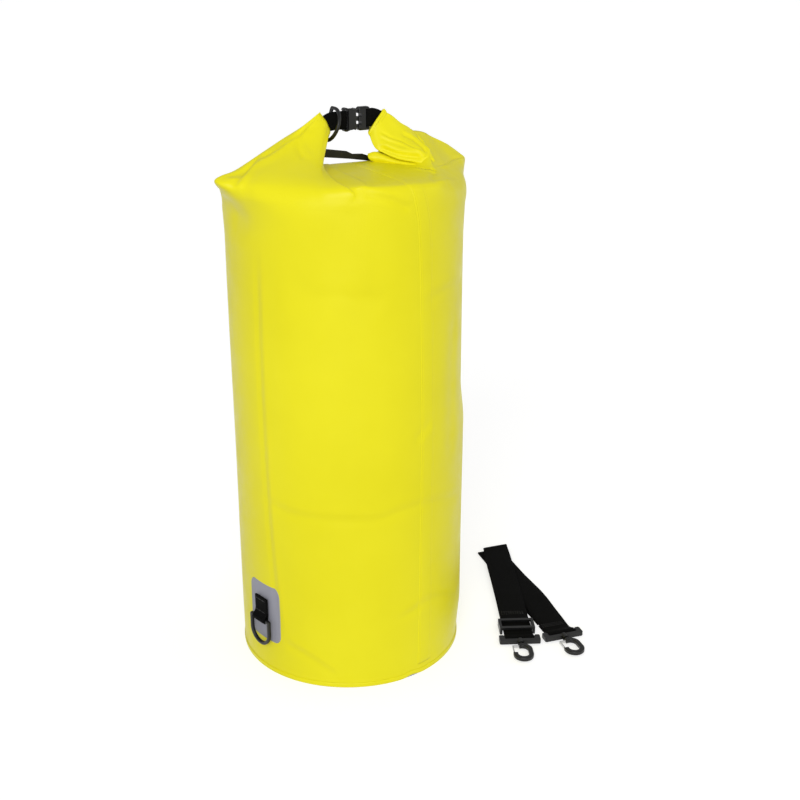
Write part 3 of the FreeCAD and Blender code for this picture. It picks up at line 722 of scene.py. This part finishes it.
def make_base():
    """Grey base disc and the welded hem round it, which rides up a little at the front right."""
    def hem_lift(turn):
        return 0.15 + 0.15 * np.sin(np.radians(turn * 5)) + 2.4 * hill(turn, 273, 3.4)
    hem = [(144.0, 1.2), (144.5, 0.3), (145.0, 0.1), (145.3, 0.9), (145.4, 2.2), (145.3, 3.8),
           (145.4, 5.2), (145.2, 5.9), (144.6, 6.3)]
    ring = revolve("base_hem", hem, hem_lift, YELLOW, "bag", ("base_seam_ring",))
    modify(ring, "SUBSURF", levels=1, render_levels=1)
    apply_modifiers(ring)
    disc = [(0.5, 1.1), (40, 1.0), (90, 0.9), (125, 0.7), (138, 0.35), (142.5, 0.1), (143.8, 0.15),
            (144.5, 0.6), (144.7, 1.4), (144.6, 2.9)]
    revolve("base_sheet", disc, lambda turn: 0 * turn, GREY, "bag", ("base_disc",))


# ---------------------------------------------------------------- rolled mouth, right side
# Sections of a soft tube: its top, front, bottom and back points.
RIGHT_END = [
    [(54.5, -1.5, 695), (43, -5, 684), (35, -2, 672), (45, 5, 684)],
    [(66, -3, 689), (45, -11, 673), (34, -7, 664), (52, 3, 677)],
    [(77.5, -6, 679.5), (50, -20, 663), (36, -14, 654), (60, 0, 668)],
    [(87, -11, 673), (61, -32, 657), (43, -22, 648), (70, -4, 660)],
    [(91, -27, 662), (70, -42, 655), (54, -36, 642), (78, -18, 652)],
    [(92, -46, 653), (78, -54, 650), (67, -50, 639), (84, -36, 645)],
    [(89, -62, 642), (86, -66, 638), (81, -64, 635), (87, -56, 638)],
]
LIP_TOPS = [(31, -5, 646.5), (40, -9, 648.5), (52, -22, 644), (61, -33, 641), (69, -46, 639),
            (78, -57, 638.5), (87, -66, 638)]
LIP_BOTTOMS = [(34, -7, 638), (42, -12, 634.5), (54, -25, 633), (63, -36, 632.2), (71, -49, 632),
               (79, -60, 632.6), (87, -68, 633.5)]


def loft(name, sections, material, replaced=(), body=None, per_ring=8, per_span=8,
         shape=None):
    """A soft closed tube through sections of four points, with its ends tucked in."""
    rings = np.array([catmull(section, per_ring, closed=True) for section in sections])
    rows = np.stack([catmull(rings[:, j], per_span) for j in range(rings.shape[1])], 1)
    if shape is not None:
        rows = shape(rows)
    tucked = []
    for ring, inner in ((rows[0], rows[3]), (rows[-1], rows[-4])):
        middle, deep = ring.mean(0), inner.mean(0)
        tucked.append([middle + (ring - middle) * k + (deep - middle) * d
                       for k, d in ((0.72, 0.25), (0.3, 0.5), (0.02, 0.5))])
    rows = np.concatenate([tucked[0][::-1], rows, tucked[1]])
    obj = piece(name, rows.reshape(-1, 3), grid_faces(rows.shape[0], rows.shape[1], True), material,
                body, replaced, grid_uv(rows))
    recalc = bmesh.new()
    recalc.from_mesh(obj.data)
    bmesh.ops.recalc_face_normals(recalc, faces=recalc.faces)
    recalc.to_mesh(obj.data)
    recalc.free()
    return obj


ARM_FOLDS = [
    (-2.0, 1.8, [(43, -10, 670), (52, -20, 663), (62, -28, 659.5), (70, -42.5, 653.5),
                 (79, -53, 650.7)]),
    (2.8, 3.2, [(38, -16, 656), (51.5, -33.7, 649.3), (64.3, -46.8, 646.4), (78, -57, 645)]),
    (1.8, 2.4, [(70, -16, 670), (80, -30, 663), (83, -48, 655), (82, -56, 650)]),
    (1.5, 2.0, [(88, -40, 655), (84, -52, 651), (76, -58, 646)]),
]


def arm_creases(rows):
    """Folds that run from the pinched corner of the roll along its pulled-up end."""
    normals = grid_normals(rows)
    outward = np.einsum("ijk,ijk->ij", normals, rows - rows.mean(1, keepdims=True))
    normals = normals * np.sign(outward)[..., None]
    around = np.linspace(0, math.tau, rows.shape[1], endpoint=False)[None, :]
    along = np.linspace(0, 1, len(rows))[:, None]
    ripple = 0.2 * np.sin(7 * around - 5 * along) * smooth_step(along / 0.2) * smooth_step(
        (1 - along) / 0.2)
    shift = ripple + sum(press_fold(rows, normals, *fold) for fold in ARM_FOLDS)
    return rows + shift[..., None] * normals


def make_right_end():
    """The right end of the rolled mouth, pulled up to the buckle."""
    end = loft("mouth_end_right", RIGHT_END, YELLOW,
               ("mouth_roll_right", "right_arm_tip"), per_ring=20, per_span=14, shape=arm_creases)
    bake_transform(end)
    out = np.array([-0.74, -0.68, 0.0]) * 4.6
    tops, bottoms = np.array(LIP_TOPS, float), np.array(LIP_BOTTOMS, float)
    middles = (tops + bottoms) / 2
    lip = [[top, mid + out, low, mid - out] for top, mid, low in zip(tops, middles, bottoms)]
    loft("mouth_roll_lip", lip, YELLOW, body="bag", per_ring=10, per_span=8)


def make_hem():
    """The doubled hem sewn across the end of the mouth, through which the webbing comes out.
    grow is its profile: how far it stands out, and how far along the roll."""
    grow = [(1.08, -0.8), (1.2, 0.3), (1.2, 4.4), (1.14, 5.3), (0.99, 5.7)]
    first, second = (np.array(section, float) for section in RIGHT_END[:2])
    step = (second - first).mean(0)
    step = step / np.linalg.norm(step)
    middle = first.mean(0)
    sections = [middle + (first - middle) * k + step * d for k, d in grow]
    loft("mouth_hem_right", sections, YELLOW, ("right_end_hem",), "latch", 12, 5)
    ring = catmull(middle + (first - middle) * 1.225 + step * 2.6, 12, closed=True)
    stitches("hem_stitches", ring, ring - middle, 3.0, YELLOW_THREAD, "latch")


# ---------------------------------------------------------------- thread and webbing
# One thread's rings, from end to end: share of its length, share of its thickness, lift.
THREAD = ((0, 0.3, -0.3), (0.15, 0.8, 0.05), (0.5, 1, 0.2), (0.85, 0.8, 0.05), (1, 0.3, -0.3))
THREAD_SIDES = 6
WEB_THICK, STRAP_THICK = 1.3, 1.35
BAR = 3.2                                           # width of the buckle's webbing bars


def stitches(name, line, normals, pitch, material, body, thick=0.35, gap=0.35):
    """A row of stitches: short rounded threads that dip at both ends, one after another."""
    line, normals = np.array(line, float), np.array(normals, float)
    lengths = np.concatenate([[0], np.cumsum(np.linalg.norm(np.diff(line, axis=0), axis=1))])
    verts, faces, uvs = [], [], []
    sides, last_ring = THREAD_SIDES, (len(THREAD) - 1) * THREAD_SIDES
    shape = grid_faces(len(THREAD), sides, True)
    shape += [tuple(range(last_ring, last_ring + sides)), tuple(range(sides))[::-1]]
    for start in np.arange(0.2, lengths[-1] - pitch, pitch):
        def at(distance, values):
            return np.array([np.interp(distance, lengths, values[:, k]) for k in range(3)])
        first, last = at(start, line), at(start + pitch * (1 - gap), line)
        normal = at(start, normals) / np.linalg.norm(at(start, normals))
        step = (last - first) / np.linalg.norm(last - first)
        side = np.cross(normal, step)
        base = len(verts)
        for share, size, lift in THREAD:
            centre = first + (last - first) * share + normal * lift * thick * 2
            for k in range(sides):
                angle = math.tau * k / sides
                round_it = math.cos(angle) * side + math.sin(angle) * normal
                verts.append(centre + thick * size * round_it)
                uvs.append((start + share * pitch, k * 0.4))
        faces += [tuple(base + corner for corner in face) for face in shape]
    piece(name, verts, faces, material, body, uvs=uvs)


def ribbon(name, line, across, half, thick, body, replaced, per_span=6):
    """Flat webbing with rolled edges that follows a line; across is its width direction."""
    line = catmull(line, per_span)
    across = np.broadcast_to(np.array(across, float), line.shape)
    tangent = np.gradient(line, axis=0)
    tangent = tangent / np.linalg.norm(tangent, axis=1, keepdims=True)
    out = np.cross(across, tangent)
    out = out / np.linalg.norm(out, axis=1, keepdims=True)
    section = [(-1, 0, 0), (-1, 0.5, 0.35), (-0.55, 0, 0.5), (0, 0, 0.5), (0.55, 0, 0.5),
               (1, -0.5, 0.35), (1, 0, 0), (1, -0.5, -0.35), (0.55, 0, -0.5), (0, 0, -0.5),
               (-0.55, 0, -0.5), (-1, 0.5, -0.35)]       # share of the half width, inset, height
    lengths = np.concatenate([[0], np.cumsum(np.linalg.norm(np.diff(line, axis=0), axis=1))])
    verts, uvs = [], []
    for i, spot in enumerate(line):
        for share, inset, height in section:
            place = share * half + inset
            verts.append(spot + across[i] * place + out[i] * thick * height)
            uvs.append((lengths[i], place))
    count = len(section)
    faces = grid_faces(len(line), count, True)
    faces += [tuple(range(count))[::-1], tuple(range((len(line) - 1) * count, len(line) * count))]
    piece(name, verts, faces, WEBBING, body, replaced, uvs)


def make_buckle_webbing():
    """Both webbing ends: out of the rolled mouth, round the buckle's bar and back."""
    def loop(bar_low, bar_high, far, face):
        near, edge = (bar_high, bar_low) if face < 0 else (bar_low, bar_high)
        turn = [(edge + face * 2.2, -1.7), (edge + face * 0.6, -2.5), ((edge + near) / 2, -2.75),
                (near - face * 0.5, -2.2), (near - face * 1.25, 0), (near - face * 0.5, 2.2),
                ((edge + near) / 2, 2.75), (edge + face * 0.6, 2.5), (edge + face * 2.2, 1.7)]
        strip = [(edge + face * share * abs(far - edge), -0.85) for share in (1, 0.66, 0.33, 0.12)]
        back = [(x, -y) for x, y in strip[::-1]]
        return strip + turn + back
    left_bar = span("buckle_socket", 0)[0]
    right_bar = span("buckle_latch", 0)[1]
    left, right = loop(left_bar, left_bar + BAR, -31, -1), loop(right_bar - BAR, right_bar, 55, 1)
    for name, points, bow, body, replaced in (
            ("left_buckle_strap", left, -0.6, "bag", "left_buckle_webbing"),
            ("right_buckle_strap", right, 0.5, "latch", "right_buckle_webbing")):
        line = [(x, y, LOOP_Z + bow * math.sin(min(abs(x - 16) / 40, 1) * math.pi)
                 - 0.5 * max(abs(x - 14) - 31, 0)) for x, y in points]
        ribbon(name, line, (0, 0, 1), WEB_HALF, WEB_THICK, body, (replaced,))


def make_tab():
    """The webbing tab on the patch: two plies, sewn, with the D-ring's bar in its loop."""
    turn = math.radians(PATCH_TURN)
    outward = np.array([math.cos(turn), math.sin(turn), 0])
    side = np.array([-math.sin(turn), math.cos(turn), 0])
    bar_out, bar_z, loop = 150.7, 76.0, 3.55    # the ring's bar, and the webbing's bend round it
    inner, outer, half = 147.15, 148.55, 12.3   # distances of the two plies from the bag's axis
    around = [(bar_out + loop * math.cos(math.radians(a)), bar_z + loop * math.sin(math.radians(a)))
              for a in (165, 195, 230, 270, 310, 350, 30, 62)]
    path = [(inner, 105.5), (inner, 98), (inner, 90), (inner, 83)] + around \
        + [(outer + 0.9, 83), (outer, 87), (outer, 94), (outer, 100), (outer, 105.8)]
    line = [outward * r + np.array([0, 0, z]) for r, z in path]
    ribbon("lower_tab_strap", line, side, half, WEB_THICK, "bag", ("lower_webbing_tab",))
    for index, z in enumerate((102.0, 85.5)):
        zigzag = [outward * (outer + 0.75) + side * s
                  + np.array([0, 0, z + (1.1 if k % 2 else -1.1)])
                  for k, s in enumerate(np.linspace(-9.3, 9.3, 22))]
        stitches("tab_bartack_%d" % (index + 1), zigzag, [outward] * 22, 2.1, BLACK_THREAD, "bag",
                 0.3, 0.06)
    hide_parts("tab_bartacks")


# ---------------------------------------------------------------- shoulder strap on the floor
STRAP_ENDS = {"hook_1": (175.8, -150.5, -29.0), "hook_2": (231.5, -170.5, -13.5)}
STRAP_HALF = 20.0
HOOK_BAR_Z = 4.5


def strap_axes(hook):
    """Where a hook's bar is, and the strap's directions from it: its turn, back and sideways."""
    bar_x, bar_y, turn = STRAP_ENDS[hook]
    angle = math.radians(turn)
    back = np.array([-math.sin(angle), math.cos(angle), 0])
    side = np.array([math.cos(angle), math.sin(angle), 0])
    return np.array([bar_x, bar_y, 0]), angle, back, side


def strap_leg(hook, low_z, end, drifts, skew, names):
    """One leg of the strap: sewn round the hook's bar, back to the far fold and under itself.
    low_z is the floor side of its lower ply, end the fold's distance from the bar, drifts how far
    the upper and the lower ply stray sideways, and skew the fold's turn."""
    bar, angle, back, side = strap_axes(hook)
    under, over, loop = low_z + 0.75, low_z + 2.45, 3.5
    around = [(loop * math.cos(math.radians(a)), HOOK_BAR_Z + loop * math.sin(math.radians(a)))
              for a in (300, 262, 225, 180, 135, 98, 62)]
    path = [(30, under), (20, under), (11, under + 0.3), (5, 1.2 + 0.2 * low_z)] + around
    path += [(6.5, 5.3), (13, over + 0.2), (22, over)]
    path += [(y, over + 0.25 * math.sin(y * 0.07)) for y in np.linspace(40, end - 12, 9)]
    path += [(end - 4, over + 0.3), (end - 0.6, over - 0.1), (end, (under + over) / 2),
             (end - 0.6, under + 0.1)]
    path += [(y, under) for y in np.linspace(end - 8, 34, 9)]
    line = [bar + back * y + np.array([0, 0, z]) for y, z in path]
    fold_start = len(path) - 12                         # the upper ply's last point
    for k, (y, z) in enumerate(path):
        stray = drifts[1] * hill(y, 125, 42) if k > fold_start else drifts[0] * hill(y, 105, 55)
        line[k] = line[k] + side * stray * (y > 30)
    spots = catmull(line, 5)
    reach = (spots - bar) @ back
    turns = angle + skew * smooth_step((reach - end + 40) / 40)
    across = np.stack([np.cos(turns), np.sin(turns), 0 * turns], 1)
    ribbon(names[0], spots, across, STRAP_HALF - 0.3, STRAP_THICK, "strap", names[1:], per_span=1)


def make_strap():
    """Both legs of the strap, and three rows of stitches across each, behind its hook."""
    strap_leg("hook_1", low_z=3.5, end=262, drifts=(0, 0.8), skew=0.3,
              names=("strap_leg_1", "strap_upper_run", "hook_1_end_loop"))
    strap_leg("hook_2", low_z=0.15, end=253.5, drifts=(4.0, -5.0), skew=0,
              names=("strap_leg_2", "strap_lower_run", "hook_2_end_loop"))
    spacing, half_row, points = 3.2, 17, 12
    for hook, top, first in (("hook_1", 6.75, 58), ("hook_2", 3.4, 22)):
        bar, _, back, side = strap_axes(hook)
        for index in range(3):
            line = [bar + np.array([0, 0, top]) + back * (first + spacing * index) + side * s
                    for s in np.linspace(-half_row, half_row, points)]
            stitches("%s_stitches_%d" % (hook, index + 1), line, [(0, 0, 1)] * points, 3.2,
                     BLACK_THREAD, "strap", 0.3)


def finish_hardware():
    """The CAD's own hard parts stay as they are and get their moulded or metal finish."""
    finishes = {"buckle_socket": PLASTIC, "buckle_latch": PLASTIC, "upper_prong": PLASTIC,
                "lower_prong": PLASTIC, "top_d_ring": PLASTIC, "lower_d_ring": PLASTIC,
                "strap_slider": PLASTIC, "mouth_stiffener": STIFFENER}
    for hook in STRAP_ENDS:
        finishes.update({hook + "_base": PLASTIC, hook + "_snap": PLASTIC, hook + "_gate": STEEL})
    for name, material in finishes.items():
        nodes[name].data.materials.clear()
        nodes[name].data.materials.append(material)


make_camera()
make_stage()
make_lights()
bpy.context.scene.view_settings.view_transform = "Standard"
make_shell()
make_seam_band()
make_base()
make_patch()
make_right_end()
make_hem()
make_buckle_webbing()
make_tab()
make_strap()
finish_hardware()
